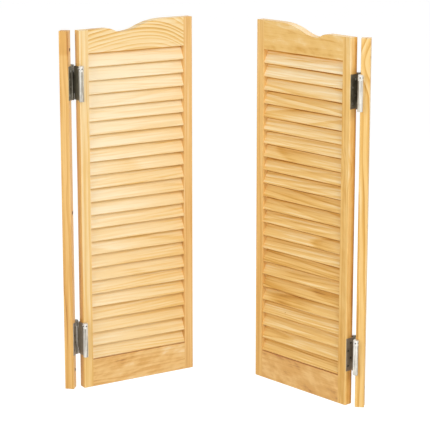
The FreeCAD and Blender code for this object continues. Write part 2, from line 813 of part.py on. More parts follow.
def make_web(unit, hinge):
    """The centre plate, rolled into a spring tube at each edge, one roll each way round."""
    piece = Piece(unit.label(f"{hinge}_centre_web"))
    low = size("barrel_offset") - size("leaf_thickness") / 2
    high = size("barrel_offset") + size("leaf_thickness") / 2
    middle = (size("barrel_offset"), -half_spacing)

    tubes = piece.sketch("XY", tube_foot)
    roll = rolled_edge(low, high)
    draw_outline(tubes, roll + half_turned(roll, middle))
    piece.pad(tubes, tube_head - tube_foot)

    plate = piece.sketch("XY", size("leaf_setback"))
    edge = barrel_radius + size("web_relief")
    draw_outline(plate, rectangle(low, edge - 2 * half_spacing, high, -edge))
    piece.pad(plate, leaf_height)
    unit.stand(piece.body, "link", 0.0, 0.0, level=hinge_feet[hinge])


def make_spindle(unit, carrier, hinge):
    """Turned plug in the lower knuckle, which the web's tube runs on, and the rod up the spring."""
    piece = Piece(unit.label(f"{hinge}_{carrier}_spindle"))
    plug = bore_radius - size("pivot_fit")
    plug_head = tube_foot + size("pivot_reach")
    rod = size("rod_diameter") / 2
    rod_head = cap_foot + size("rod_entry")
    profile = piece.sketch("XZ")
    draw_outline(profile, [
        Corner(0.0, 0.0), Corner(plug, 0.0), Corner(plug, plug_head),
        Corner(rod, plug_head), Corner(rod, rod_head), Corner(0.0, rod_head),
    ])
    piece.revolve(profile, "Z")
    unit.stand_at_barrel(piece.body, carrier, hinge_feet[hinge])


def make_cap(unit, carrier, hinge):
    """Tension cap with four radial holes; its shank carries the head of the web's tube."""
    piece = Piece(unit.label(f"{hinge}_{carrier}_tension_cap"))
    shank = bore_radius - size("pivot_fit")
    shank_foot = tube_head - size("pivot_reach")
    bore = size("rod_diameter") / 2 + size("rod_fit")
    bore_head = cap_foot + size("rod_entry") + size("rod_fit")
    head = size("barrel_length")
    profile = piece.sketch("XZ")
    draw_outline(profile, [
        Corner(bore, shank_foot), Corner(shank, shank_foot), Corner(shank, cap_foot),
        Corner(barrel_radius, cap_foot), Corner(barrel_radius, head),
        Corner(0.0, head), Corner(0.0, bore_head), Corner(bore, bore_head),
    ])
    piece.revolve(profile, "Z")
    piece.dress("Chamfer", size("cap_chamfer"), lambda edge: (
        abs(edge.BoundBox.ZMin - head.number) < NEAR
    ))
    hole = piece.sketch("XZ", barrel_radius - size("tommy_depth"))
    draw_circle(hole, 0.0, pin_level, size("tommy_hole"))
    hole = piece.pocket(hole, size("tommy_depth") + OVERCUT)
    piece.repeat_round(hole, "Z", size("tommy_holes"))
    unit.stand_at_barrel(piece.body, carrier, hinge_feet[hinge], pin_angle)


def make_spring(unit, carrier, hinge):
    """Close-wound torsion spring between spindle and cap, drawn as the sleeve that its coils fill."""
    piece = Piece(unit.label(f"{hinge}_{carrier}_spring"))
    outer = bore_radius - size("spring_room")
    inner = outer - size("spring_wall")
    foot = tube_foot + size("pivot_reach")
    head = tube_head - size("pivot_reach")
    profile = piece.sketch("XZ")
    draw_outline(profile, rectangle(inner, foot, outer, head))
    piece.revolve(profile, "Z")
    unit.stand_at_barrel(piece.body, carrier, hinge_feet[hinge])


def make_screws(unit, carrier):
    """Eight countersunk screws through the two flanges into the wood."""
    head = size("screw_head").number / 2
    shank = size("screw_shank").number / 2
    sink = screw_sink.number
    length = size("screw_length").number
    point = size("screw_point").number
    profile = Part.makePolygon([
        Vector(0, 0, 0), Vector(head, 0, 0), Vector(shank, 0, -sink), Vector(shank, 0, point - length),
        Vector(0, 0, -length), Vector(0, 0, 0),
    ])
    screw = Part.Face(profile).revolve(Vector(), UP, 360)
    screw.rotate(Vector(), Vector(0, 1, 0), 90)
    face = flange_inner.number
    middle = half_spacing.number
    places = screw_places(1)
    solids = [
        screw.translated(Vector(face, across.number - middle, level.number))
        for across, level in places
    ]
    screws = group(unit.label(f"{carrier}_hinge_screws"), solids)
    unit.stand_at_barrel(screws, carrier, 0.0)


def make_tension_pins(unit, carrier):
    """The pin in each cap, which bears on its own flange and holds the spring wound."""
    piece = Piece(unit.label(f"{carrier}_tension_pins"))
    start = barrel_radius - size("tommy_depth")
    section = piece.sketch("XZ", start)
    draw_circle(section, 0.0, hinge_feet["lower"] + pin_level, size("pin_diameter"))
    pin = piece.pad(section, size("pin_reach") - start)
    piece.repeat(pin, "Z", hinge_rise, measure(2))
    unit.stand_at_barrel(piece.body, carrier, 0.0, pin_angle)


# ---------------------------------------------------------------- assembly
UNITS = (
    Unit("left", 1, link_turn=size("left_open_angle"), door_turn=size("left_open_angle")),
    Unit("right", -1, link_turn=measure(0.0), door_turn=-size("right_open_angle")),
)

for unit in UNITS:
    make_jamb_strip(unit)
    make_hinge_stile(unit)
    make_meeting_stile(unit)
    make_top_rail(unit)
    make_bottom_rail(unit)
    make_slats(unit)
    make_dowels(unit)
    for hinge in hinge_feet:
        make_web(unit, hinge)
        for carrier in ("strip", "door"):
            make_flange(unit, carrier, hinge)
            make_spindle(unit, carrier, hinge)
            make_cap(unit, carrier, hinge)
            make_spring(unit, carrier, hinge)
    for carrier in ("strip", "door"):
        make_screws(unit, carrier)
        make_tension_pins(unit, carrier)

doc.recompute()
for item in doc.Objects:
    if {"Invalid", "Error"} & set(item.State):
        raise RuntimeError(f"{item.Label} failed: {item.State}")
for piece in Piece.pieces:
    if piece.Shape.isNull() or not piece.Shape.isValid():
        raise RuntimeError(f"{piece.Label} has no valid shape")

os.makedirs("parts", exist_ok=True)
for piece in Piece.pieces:
    piece.Shape.exportStep(f"parts/{piece.Label}.step")
print(f"{len(Piece.pieces)} nodes written")
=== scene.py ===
# %% [markdown]
# # A pair of louvred cafe doors
# Two half-height pine doors hang on narrow jamb strips by double-acting spring hinges. The solids
# come from a imported model in metres: X runs along the doorway, Y goes away from the front, Z is up.
# This lesson leaves those solids where they are. It gives every one of them a finish that is worked
# out from its own place in space, models the small hardware that shows, and sets up a plain studio.
#
# The load call brings the solids in.

# %% Load the solids
import math

import bpy
from mathutils import Matrix, Vector


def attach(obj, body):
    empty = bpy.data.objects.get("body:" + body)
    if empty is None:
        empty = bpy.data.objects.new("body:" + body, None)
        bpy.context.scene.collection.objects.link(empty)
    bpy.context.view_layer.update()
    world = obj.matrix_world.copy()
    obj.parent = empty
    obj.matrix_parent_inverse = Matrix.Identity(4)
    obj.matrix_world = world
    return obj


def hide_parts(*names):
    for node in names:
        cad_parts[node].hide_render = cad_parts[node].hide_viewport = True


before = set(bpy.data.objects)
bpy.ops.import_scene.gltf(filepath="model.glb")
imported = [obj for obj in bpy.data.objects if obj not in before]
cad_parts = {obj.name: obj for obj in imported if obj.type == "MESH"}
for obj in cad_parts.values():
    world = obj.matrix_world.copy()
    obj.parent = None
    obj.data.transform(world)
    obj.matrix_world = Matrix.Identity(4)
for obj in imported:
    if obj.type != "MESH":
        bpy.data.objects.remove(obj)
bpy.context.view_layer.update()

# %% [markdown]
# ## Where the doors stand
# Both doors are pushed open to the back, each by its own angle about the barrels behind it. Grain
# has to run along each member, so every wooden part is described in the frame of its own unit: the
# corner at the back barrel's axis, turned by the unit's angle, and the side along X that leads away
# from the hinge. The same numbers place the hardware, so they are written once, here.

# %% Units of the doorway
GAP_X = 0.4068  # middle of the gap between a strip and its door
BARREL_Y = 0.0221  # half the way from a hinge's back barrel to its front one
BARREL_OFFSET = 0.0044  # how far each barrel stands beside the middle of the gap
SLAT_TILT = math.radians(27.0)
SLAT_PITCH = 0.0390730
FIRST_SLAT = 0.1033720
LEFT_OPEN, RIGHT_OPEN = 42.0, 37.0
STANDS = {
    "left": {
        "corner": (-GAP_X - BARREL_OFFSET, BARREL_Y, 0.0),
        "turn": math.radians(LEFT_OPEN),
        "away": 1,
    },
    "right": {
        "corner": (GAP_X - BARREL_OFFSET, BARREL_Y, 0.0),
        "turn": math.radians(-RIGHT_OPEN),
        "away": -1,
    },
}
print(f"left door stands open by {LEFT_OPEN:.0f} degrees, right door by {RIGHT_OPEN:.0f}")

# %% [markdown]
# ## The camera
# The eye stands a little to the right of the middle, well back and above the doors, so the left
# door shows its face squarely and both heads are seen from above. A long lens keeps the uprights
# nearly parallel, although the camera tilts down a little. A small shift of the picture sets the
# doors in its middle.

# %% Camera
TILT_DOWN, LOOK_ASIDE = 12.01, 10.59
lens = bpy.data.cameras.new("studio_lens")
lens.lens = 142.3
lens.shift_y = -0.1
eye = bpy.data.objects.new("studio_camera", lens)
bpy.context.scene.collection.objects.link(eye)
eye.location = (0.861, -4.575, 1.651)
eye.rotation_euler = (math.radians(90.0 - TILT_DOWN), 0.0, math.radians(LOOK_ASIDE))
bpy.context.scene.camera = eye
print(f"camera {eye.location.length:.2f} m from the origin, lens {lens.lens} mm")

# %% [markdown]
# ## A short way to write shader maths
# A material is a graph of nodes. Long chains of Math nodes are hard to read when each is made and
# linked by hand, so a small class wraps an output socket and lets Python's own operators add the
# nodes: `1 - mask * 0.5` becomes two Math nodes. Everything else comes from one method that takes a
# node's type, its settings and what goes into its sockets.

# %% Wires and boards
class Wire:
    """An output socket that Python's operators can reckon with."""

    def __init__(self, board, socket):
        self.board, self.socket = board, socket

    def __add__(self, other):
        return self.board.maths("ADD", self, other)

    def __sub__(self, other):
        return self.board.maths("SUBTRACT", self, other)

    def __rsub__(self, other):
        return self.board.maths("SUBTRACT", other, self)

    def __mul__(self, other):
        return self.board.maths("MULTIPLY", self, other)

    def __truediv__(self, other):
        return self.board.maths("DIVIDE", self, other)

    def __pow__(self, other):
        return self.board.maths("POWER", self, other)

    __radd__ = __add__
    __rmul__ = __mul__


class Board:
    """The node tree of one material or world, emptied to be built anew."""

    def __init__(self, owner):
        owner.use_nodes = True
        self.owner, self.tree = owner, owner.node_tree
        self.tree.nodes.clear()

    def place(self):
        """Where the shaded point lies in the space of its solid."""
        return self.node("ShaderNodeTexCoord", output="Object")

    def node(self, kind, settings=None, sockets=None, output=0):
        """Adds a node, sets it up, then fills its sockets with values or wires."""
        made = self.tree.nodes.new(kind)
        settings = dict(settings or {})
        stops = settings.pop("stops", None)
        for key, value in settings.items():
            setattr(made, key, value)
        if stops:
            ramp = made.color_ramp
            ramp.interpolation = "EASE"
            while len(ramp.elements) < len(stops):
                ramp.elements.new(0.5)
            for element, (position, colour) in zip(ramp.elements, stops):
                element.position, element.color = position, (*colour, 1.0)
        for key, value in (sockets or {}).items():
            if isinstance(value, Wire):
                self.tree.links.new(value.socket, made.inputs[key])
            else:
                made.inputs[key].default_value = value
        return Wire(self, made.outputs[output]) if made.outputs else None

    def maths(self, operation, *terms):
        """One Math node."""
        return self.node("ShaderNodeMath", {"operation": operation}, dict(enumerate(terms)))

    def split(self, vector):
        """The three parts of a vector or a colour."""
        return [
            self.node("ShaderNodeSeparateXYZ", None, {"Vector": vector}, output=axis)
            for axis in "XYZ"
        ]

    def join(self, x, y, z):
        """A vector made of three wires or numbers."""
        return self.node("ShaderNodeCombineXYZ", None, {"X": x, "Y": y, "Z": z})

    def noise(self, vector, detail=2.0):
        """Smooth noise between about 0.25 and 0.75, one blob to a unit of its vector."""
        sockets = {"Vector": vector, "Scale": 1.0, "Detail": detail, "Roughness": 0.5}
        return self.node("ShaderNodeTexNoise", None, sockets, "Fac")

    def chance(self, number, output="Value"):
        """A random number, the same wherever the given number is the same."""
        settings = {"noise_dimensions": "1D"}
        return self.node("ShaderNodeTexWhiteNoise", settings, {"W": number}, output)

    def fade(self, value, low, high):
        """0 at the low limit and beyond it, 1 from the high one on, and smooth between.

        The limits may also be given falling, for a mask that grows as the value shrinks.
        """
        return self.node("ShaderNodeMapRange", {"interpolation_type": "SMOOTHSTEP"}, {
            "Value": value, "From Min": low, "From Max": high,
        })

    def blend(self, share, first, second):
        """The first colour where the share is 0, and the second where it is 1."""
        sockets = {"Factor": share, "A": first, "B": second}
        return self.node("ShaderNodeMix", {"data_type": "RGBA"}, sockets, "Result")

    def ramp(self, value, stops):
        """A colour that runs through the given stops, pairs of a value and a colour."""
        return self.node("ShaderNodeValToRGB", {"stops": stops}, {"Fac": value}, "Color")

    def finish(self, **sockets):
        """Closes the tree with a Principled shader, and returns the material."""
        names = {key.replace("_", " ").title(): value for key, value in sockets.items()}
        names = {key.replace("Ior", "IOR"): value for key, value in names.items()}
        shader = self.node("ShaderNodeBsdfPrincipled", None, names, "BSDF")
        self.node("ShaderNodeOutputMaterial", None, {"Surface": shader})
        return self.owner


def new_board(name):
    """The empty board of a new material."""
    return Board(bpy.data.materials.new(name))


def paint(red, green, blue):
    """A colour as it reads on a screen, from 0 to 255, turned into the shader's linear values."""
    return tuple(
        part / 255 / 12.92 if part <= 10 else ((part / 255 + 0.055) / 1.055) ** 2.4
        for part in (red, green, blue)
    )


print("honey pine in linear light:", [round(part, 3) for part in paint(232, 190, 126)])

# %% [markdown]
# ## Pine
# Pine shows its growth rings as bands: pale early wood that slowly darkens to a thin orange line of
# late wood, then starts again. A flat picture of grain would break at every corner. Here the rings
# are cylinders about the pith, the middle of the trunk, which lies somewhere beside the member and
# not quite along it. Cutting that solid gives straight lines on one face, arches on the next and
# curved rings on the end grain, as sawing a real log does.
#
# A wobble bends the pith, a bow arches the rings of a wide board and a swirl swings them out at one
# spot. Four patterns of noise, all drawn out along the grain, add drift, clouds, streaks and fibres.
# The varnish is a thin clear coat over a satin surface.

# %% Pine shader
PINE = (
    (0.00, paint(253, 236, 200)),
    (0.25, paint(247, 218, 164)),
    (0.50, paint(238, 196, 122)),
    (0.75, paint(221, 169, 86)),
    (1.00, paint(178, 118, 48)),
)
RINGS = (
    (0.00, (0.0,) * 3), (0.28, (0.06,) * 3), (0.66, (0.58,) * 3), (0.84, (1.0,) * 3),
    (1.00, (0.0,) * 3),
)
BLUSH, HOLE_BROWN = (*paint(232, 178, 138), 1.0), (*paint(84, 52, 26), 1.0)

# Of each pattern: blobs to a metre along the grain, blobs to a metre across it, finest detail.
PATTERNS = {
    "drift": (3.4, 12, 1.0),
    "cloud": (3.3, 22, 2.0),
    "streak": (5, 190, 3.0),
    "fibre": (14, 620, 3.0),
}
BLOTCH_ALONG, BLOTCH_ACROSS, BLOTCH_SLANT = 24, 44, 12
KNOT_CELLS, KNOT_SIZE, KNOT_RARITY, KNOT_TONE = 16, (0.034, 0.018), 0.72, 0.5
FAN_REACH = 0.15  # over this length a bow grows into its fan
PACE_ACROSS, PACE_ALONG = 0.36, 1.2  # how often rings widen and narrow, to a ring and to a metre
WEAKEST_RING = 0.35  # late wood of the faintest ring, as a share of the strongest
NEXT_TREE = 7.3  # how far apart two seeds draw the strengths of their rings


def pattern(board, kind, along, wide, thick, seed):
    """One of the patterns of noise, between about -0.25 and 0.25."""
    lengthways, sideways, detail = PATTERNS[kind]
    spot = board.join(along * lengthways + seed, wide * sideways, thick * sideways)
    return board.noise(spot, detail) - 0.5


def pin_knots(board, along, wide, thick, seed):
    """1 in the few small dark knots of a board, and 0 elsewhere."""
    spot = board.join(along * KNOT_CELLS + seed, wide * KNOT_CELLS, thick * KNOT_CELLS)
    cell = {"Vector": spot, "Scale": 1.0, "Randomness": 1.0}
    far = board.node("ShaderNodeTexVoronoi", None, cell, "Distance")
    draw = board.split(board.node("ShaderNodeTexVoronoi", None, cell, "Color"))[0]
    return board.fade(far, *KNOT_SIZE) * board.maths("GREATER_THAN", draw, KNOT_RARITY)


def bent(board, along, wood):
    """How far the rings are pushed sideways at a place along the board, by bow, fan and swirl."""
    shift = 0.0
    if wood["bow"]:
        start = wood["bow_at"]
        shift = (along - start) * (along - start) * wood["bow"]
        shift = shift * (1 + board.fade(along, start, start + FAN_REACH) * wood["fan"])
    if wood["swirl"]:
        middle, reach, swing = wood["swirl"]
        shift = board.fade(board.maths("ABSOLUTE", along - middle), reach, 0.0) * swing + shift
    return shift


def rings(board, along, wide, thick, wood):
    """Tone of the wood at a point, from 0 pale to 1 dark, its share of late wood, its fibres."""
    seed, place = wood["seed"], (along, wide, thick)
    drift = pattern(board, "drift", *place, seed) * wood["wobble"]
    across = wide + bent(board, along, wood) - wood["pith"][0] - along * wood["lean"][0] + drift
    deep = thick - wood["pith"][1] - along * wood["lean"][1]
    far = (across * across + deep * deep) ** 0.5
    pace_spot = board.join(far * PACE_ACROSS / wood["ring"], along * PACE_ALONG, seed)
    pace = board.noise(pace_spot, 1.0)
    turns = far / wood["ring"] + (pace - 0.5) * wood["uneven"]
    late = board.ramp(board.maths("FRACT", turns), RINGS)
    strong = board.chance(board.maths("FLOOR", turns) + seed * NEXT_TREE)
    late = late * (WEAKEST_RING + (1 - WEAKEST_RING) * strong)
    fibre = pattern(board, "fibre", *place, seed)
    tone = (
        late * wood["contrast"]
        + pattern(board, "cloud", *place, -seed) * wood["cloud"]
        + fibre * wood["fibre"]
        + pattern(board, "streak", *place, seed) * wood["streak"]
        + wood["tone"]
        + pin_knots(board, *place, seed) * KNOT_TONE
    )
    if wood["blotch"]:
        slanted = wide * BLOTCH_ACROSS - along * BLOTCH_SLANT
        spot = board.join(along * BLOTCH_ALONG + seed, slanted, thick * BLOTCH_ACROSS)
        tone = tone + (board.noise(spot, 3.0) - 0.5) * wood["blotch"]
    return tone, late, fibre


def varnish(board, tone, late, fibre, hole=0.0, blush=0.0):
    """Clear satin varnish over the wood, which may blush pink and is dark brown inside a drilled
    hole.
    """
    colour = board.ramp(tone, PINE)
    if blush:
        colour = board.blend(blush, colour, BLUSH)
    if hole:
        colour = board.blend(hole, colour, HOLE_BROWN)
    bump = board.node("ShaderNodeBump", None, {
        "Strength": 0.25, "Distance": 0.0003, "Height": late * 0.4 + fibre,
    }, "Normal")
    return board.finish(
        base_color=colour, roughness=0.46 - late * 0.06 + fibre * 0.12,
        normal=bump, coat_weight=0.10, coat_roughness=0.24, ior=1.45, specular_ior_level=0.32,
    )


# What a board is like unless it says otherwise. "pith" says where the middle of the trunk lies,
# across the board and through it, and "lean" how far it drifts off in a metre. "ring" is the width
# of a ring, "uneven" how many rings it may stray, "wobble" how far the rings sway. A "bow" curves
# them about "bow_at" and opens to a "fan" beyond it, and a "swirl" is a place, its reach and its
# swing. The third line says how strongly late wood and each pattern show. The fourth gives the tone
# and what changes it: height ("paler", "top"), an edge ("edge"), which gives the hinge stiles painted
# shade, painted shade towards the back of an edge ("back_shade"), and a painted shadow line under the
# lowest slat ("seam").
WOOD = {
    "pith": (0.03, -0.05), "lean": (0.0, 0.012), "ring": 0.008, "uneven": 1.8, "wobble": 0.012,
    "bow": 0.0, "bow_at": 0.0, "fan": 0.0, "swirl": None,
    "contrast": 0.26, "cloud": 0.26, "fibre": 0.20, "streak": 0.50, "blotch": 0.0,
    "tone": 0.30, "paler": 0.16, "top": 0.0, "edge": None, "back_shade": 0.0, "seam": 0.0,
    "blush": 0.0, "seed": 0.0,
}
DOOR_MIDDLE = 0.52  # above this height an upright gets paler, below it darker
STRIP_TOP = (0.975, 0.990)  # the end of a strip, where "top" sets in
# Across a door's edge, from its front to its back, the painted shade deepens.
EDGE_DEPTH = (-0.012, 0.014)  # from the front of a door's edge to its back, for "deeper"
# The painted shadow line under the lowest slat lies on this upper front edge of a bottom rail.
RAIL_LIP, RAIL_FRONT = (0.0808, 0.0822), (-0.0098, -0.0122)  # upper front edge of a bottom rail
JAMB_HOLES, HOLE_SETBACK, HOLE_RADIUS = (0.05435, 0.52435, 0.99435), 0.0042, 0.0050


def drilled(board, along, y):
    """1 inside the three screw holes of a strip, which run across it, and 0 outside."""
    level = board.maths("ABSOLUTE", along - JAMB_HOLES[0])
    for height in JAMB_HOLES[1:]:
        level = board.maths("MINIMUM", level, board.maths("ABSOLUTE", along - height))
    beside = y + (BARREL_Y - HOLE_SETBACK)
    return board.maths("LESS_THAN", (level * level + beside * beside) ** 0.5, HOLE_RADIUS)


def member_space(board, side, turned):
    """A point's place away from the hinge, away from the front and up, in its own unit."""
    stand = STANDS[side]
    x, y, z = board.split(board.node("ShaderNodeMapping", {"vector_type": "TEXTURE"}, {
        "Vector": board.place(), "Location": stand["corner"],
        "Rotation": (0.0, 0.0, stand["turn"] if turned else 0.0),
    }))
    return x * stand["away"], y, z


def pine(name, side, turned, upright, **changes):
    """Pine for one member: turned if it swings with its door, upright if its grain runs up."""
    board, wood = new_board(name), {**WOOD, **changes}
    x, y, z = member_space(board, side, turned)
    along, wide = (z, x) if upright else (x, z)
    thick = y + BARREL_Y
    tone, late, fibre = rings(board, along, wide, thick, wood)
    if upright:
        tone = tone + (DOOR_MIDDLE - along) * wood["paler"]
    if wood["top"]:
        tone = tone + board.fade(along, *STRIP_TOP) * wood["top"]
    # Painted shade on the hinge edges of stiles, and on the right one a painted highlight at the
    # front corner that turns to painted shade towards the back.
    if wood["edge"]:
        low, high, change = wood["edge"]
        if wood["back_shade"]:
            change = board.fade(thick, *EDGE_DEPTH) * wood["back_shade"] + change
        tone = tone + board.fade(wide, low, high) * change
    # A painted shadow line along a bottom rail's upper front edge, under the lowest slat.
    if wood["seam"]:
        facing = board.fade(thick, *RAIL_FRONT)
        tone = tone + board.fade(wide, *RAIL_LIP) * facing * wood["seam"]
    hole = 0.0 if turned else drilled(board, along, y)
    return varnish(board, tone, late, fibre, hole, wood["blush"])


def cover(material, *nodes):
    """Gives whole solids one material."""
    for node in nodes:
        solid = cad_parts[node]
        solid.data.materials.clear()
        solid.data.materials.append(material)


print(f"pine runs through {len(PINE)} tones")

# %% [markdown]
# ## Stiles and strips
# The uprights are ripped from narrow stock, so each shows a few long, nearly straight bands. Each
# has a pith of its own, because a mill never takes two from the same spot of the same log. In the
# right strip and the stile beside it the grain swings out round a knot that the saw has just missed.
# The hinge edges of the stiles get painted shade, and on the right one a painted highlight at the
# front corner turns to painted shade towards the back.

# %% Uprights
# The edge tones of the hinge stiles are painted shade, with a painted highlight at the front corner
# of the right one.
UPRIGHTS = {
    "left_jamb_strip": ("left", False, dict(
        pith=(0.03, -0.06), ring=0.011, wobble=0.03, contrast=0.34, tone=0.58, top=0.16,
        edge=(0.0000, 0.0008, -0.16), blush=0.12, seed=1.7)),
    "right_jamb_strip": ("right", False, dict(
        pith=(0.05, -0.03), lean=(0.030, 0.020), ring=0.019, wobble=0.03, tone=0.45,
        contrast=0.55, swirl=(0.98, 0.095, -0.030), seed=5.3)),
    "left_hinge_stile": ("left", True, dict(
        pith=(0.07, -0.02), ring=0.014, contrast=0.18, tone=0.32, edge=(0.0086, 0.0080, 0.30),
        seed=8.4)),
    "left_meeting_stile": ("left", True, dict(
        pith=(0.42, -0.03), ring=0.013, contrast=0.28, streak=0.80, tone=0.51,
        blush=0.20, seed=3.1)),
    "right_hinge_stile": ("right", True, dict(
        pith=(0.06, -0.05), lean=(0.02, 0.012), ring=0.010, contrast=0.20, blotch=0.30, tone=0.55,
        swirl=(0.68, 0.07, 0.010), edge=(0.0086, 0.0080, -0.11), back_shade=0.38, seed=6.6)),
    "right_meeting_stile": ("right", True, dict(
        pith=(0.40, -0.05), ring=0.012, contrast=0.22, tone=0.54, blush=0.10, seed=9.9)),
}
for node, (side, turned, changes) in UPRIGHTS.items():
    cover(pine(f"{node}_pine", side, turned, True, **changes), node)
print("uprights finished:", ", ".join(UPRIGHTS))

# %% [markdown]
# ## Rails
# The four rails lie across the door, so their grain does too. The left head is a flat-sawn board
# whose rings arch up across its whole width; that is the boldest figure on the pair. The other
# three are quieter, with cloudy patches where the grain dips. Along the upper front edge of
# each bottom rail, under the lowest slat, a narrow painted shadow line darkens the wood.

# %% Rails
RAILS = {
    "left_top_rail": ("left", dict(
        pith=(0.90, -0.02), bow=0.72, bow_at=0.21, fan=1.9, ring=0.0125, wobble=0.026, uneven=3.2,
        contrast=0.60, tone=0.20, cloud=0.14, seed=2.5)),
    "left_bottom_rail": ("left", dict(
        pith=(-0.15, -0.09), ring=0.013, wobble=0.06, contrast=0.26, cloud=0.5, streak=0.55,
        blotch=0.85, tone=0.47, blush=0.18, seam=0.60, seed=5.1)),
    "right_top_rail": ("right", dict(
        pith=(0.86, -0.20), ring=0.026, wobble=0.09, contrast=0.14, cloud=0.8, streak=0.30,
        blotch=0.55, tone=0.47, seed=7.7)),
    "right_bottom_rail": ("right", dict(
        pith=(-0.12, -0.12), ring=0.024, wobble=0.09, contrast=0.14, cloud=0.5, streak=0.34,
        blotch=0.85, tone=0.64, blush=0.18, seam=0.45, seed=0.9)),
}
for node, (side, changes) in RAILS.items():
    cover(pine(f"{node}_pine", side, True, False, **changes), node)
print("rails finished:", ", ".join(RAILS))

# %% [markdown]
# ## Slats
# The twenty-three slats of a door are one solid group, but they come from many boards. The shader
# finds out which slat a point belongs to from its height, measured on a slant so that the overlap
# of neighbours doesn't matter. That number draws each slat's own pith and tone by chance. The
# point's place is then reckoned across and through its own tilted slat. The slats turn a little
# more golden from the hinge side to the meeting side.
#
# Where the next slat covers a front face, painted shade darkens the face a little towards there,
# and it ends in a narrow painted shadow line, which keeps the slats apart to the eye. The rounded
# lower edge of each slat gets a little painted shade too.

# %% Slat shader
SLAT_MIDDLE = 0.19  # halfway along a slat
SLANT = 0.5  # rise to depth of the cuts between slats, close to their own tilt
TOP_SLATS = (16.5, 21.0)  # from which slat on "top" sets in, and where it is full
# Painted shade on a slat: where it starts and where it is full across the slat, and the width of the
# painted shadow line.
COVERED, SHADOW_LINE_WIDTH = (0.0020, 0.0160), 0.0014  # places across a slat
# Painted shade on the rounded lower edge of each slat, which faces down.
LOW_EDGE, LOW_EDGE_SHADE = (-0.0188, -0.0212), 0.08
FACING_FRONT = (0.0, -0.0024)  # from the middle of a slat's thickness to its front face
NEXT_BOARD = 1.37  # how much further along its tree every slat is cut


def slat_pine(name, side, spread, sloping, golden, shade, seam, seam_at, **changes):
    """Pine for the slats of one door, where every slat is a board of its own."""
    board, wood = new_board(name), {**WOOD, **changes}
    x, y, z = member_space(board, side, True)
    depth = y + BARREL_Y
    count = board.maths("FLOOR", (z - depth * SLANT - FIRST_SLAT) / SLAT_PITCH + 0.5)
    rise = z - FIRST_SLAT - count * SLAT_PITCH
    wide = depth * math.sin(SLAT_TILT) + rise * math.cos(SLAT_TILT)
    thick = depth * math.cos(SLAT_TILT) - rise * math.sin(SLAT_TILT)
    draws = board.split(board.chance(count + wood["seed"], "Color"))
    wood["pith"] = (draws[0] * 0.16 - 0.08, draws[1] * -0.08 - 0.012)
    wood["lean"] = ((draws[2] - 0.5) * sloping, 0.02)
    # Painted shade towards where the next slat covers the face, ending in a painted shadow line.
    slat_shade = board.fade(wide, *COVERED) * shade
    slat_shade = slat_shade + board.fade(wide, seam_at, seam_at + SHADOW_LINE_WIDTH) * seam
    tone = (draws[2] - 0.5) * spread - count * wood["paler"] + (x - SLAT_MIDDLE) * golden
    if wood["top"]:
        tone = tone + board.fade(count, *TOP_SLATS) * wood["top"]
    # Painted shade on the slat's rounded lower edge.
    tone = tone + board.fade(wide, *LOW_EDGE) * LOW_EDGE_SHADE
    tone = tone + board.fade(thick, *FACING_FRONT) * slat_shade
    wood["tone"] = tone + wood["tone"]
    return varnish(board, *rings(board, x + count * NEXT_BOARD, wide, thick, wood))


SLATS = {
    "left": dict(
        spread=0.12, sloping=0.08, golden=0.65, shade=0.08, seam=0.36, seam_at=0.0139,
        paler=0.0125, ring=0.009, contrast=0.18, tone=0.29, seed=12.0),
    "right": dict(
        spread=0.14, sloping=0.022, golden=0.12, shade=0.16, seam=0.42, seam_at=0.0127,
        paler=0.0075, top=-0.17, ring=0.006, contrast=0.34, fibre=0.36, streak=0.85, cloud=0.20,
        tone=0.49, seed=41.0),
}
for side, changes in SLATS.items():
    cover(slat_pine(f"{side}_slats_pine", side, **changes), f"{side}_slats")
print("two sets of slats finished, a draw of chance for each slat")

# %% [markdown]
# ## Dowels
# The pegs that join rails and stiles are beech and hidden once the door is glued up. They still get
# a plain short-fleck wood of their own, because the doors can be looked at piece by piece.

# %% Dowels
def beech():
    """Beech with the short flecks that stand along its grain."""
    board = new_board("dowel_beech")
    x, y, z = board.split(board.place())
    fleck = board.noise(board.join(x * 160, y * 160, z * 900), 3.0)
    tone = board.ramp(fleck, ((0.3, paint(222, 184, 140)), (0.7, paint(186, 140, 98))))
    return board.finish(base_color=tone, roughness=0.55 + (fleck - 0.5) * 0.2)


cover(beech(), "left_rail_dowels", "right_rail_dowels")
print("dowels finished")

# %% [markdown]
# ## Plated steel
# The hinges are rolled from sheet and zinc plated. The flats are a dull, slightly mottled grey,
# painted dark as a painted reflection of dark surroundings, and lighter on the lower hinges. The
# barrels have been drawn through the rolling dies; the front ones are painted bright, with upright
# bands of painted highlight, as a painted reflection, and the back ones get painted shade, with
# streaks of painted highlight on the lower hinges. The mask for each is the distance from its axis,
# so it needs no picture. Fine upright scratches come from noise that is stretched along Z.

# %% Hinge steel
BARREL_SKIN = (0.0083, 0.0076)  # distances from a barrel's axis: beyond the barrel, and on it


def distance_from(board, axis):
    """How far a point lies from an upright axis."""
    x, y, _ = board.split(board.place())
    return ((x - axis[0]) ** 2.0 + (y - axis[1]) ** 2.0) ** 0.5


def tones(board, value, pair, low, high):
    """A colour between the two of a pair, given as they read on a screen."""
    return board.ramp(value, ((low, paint(*pair[0])), (high, paint(*pair[1]))))


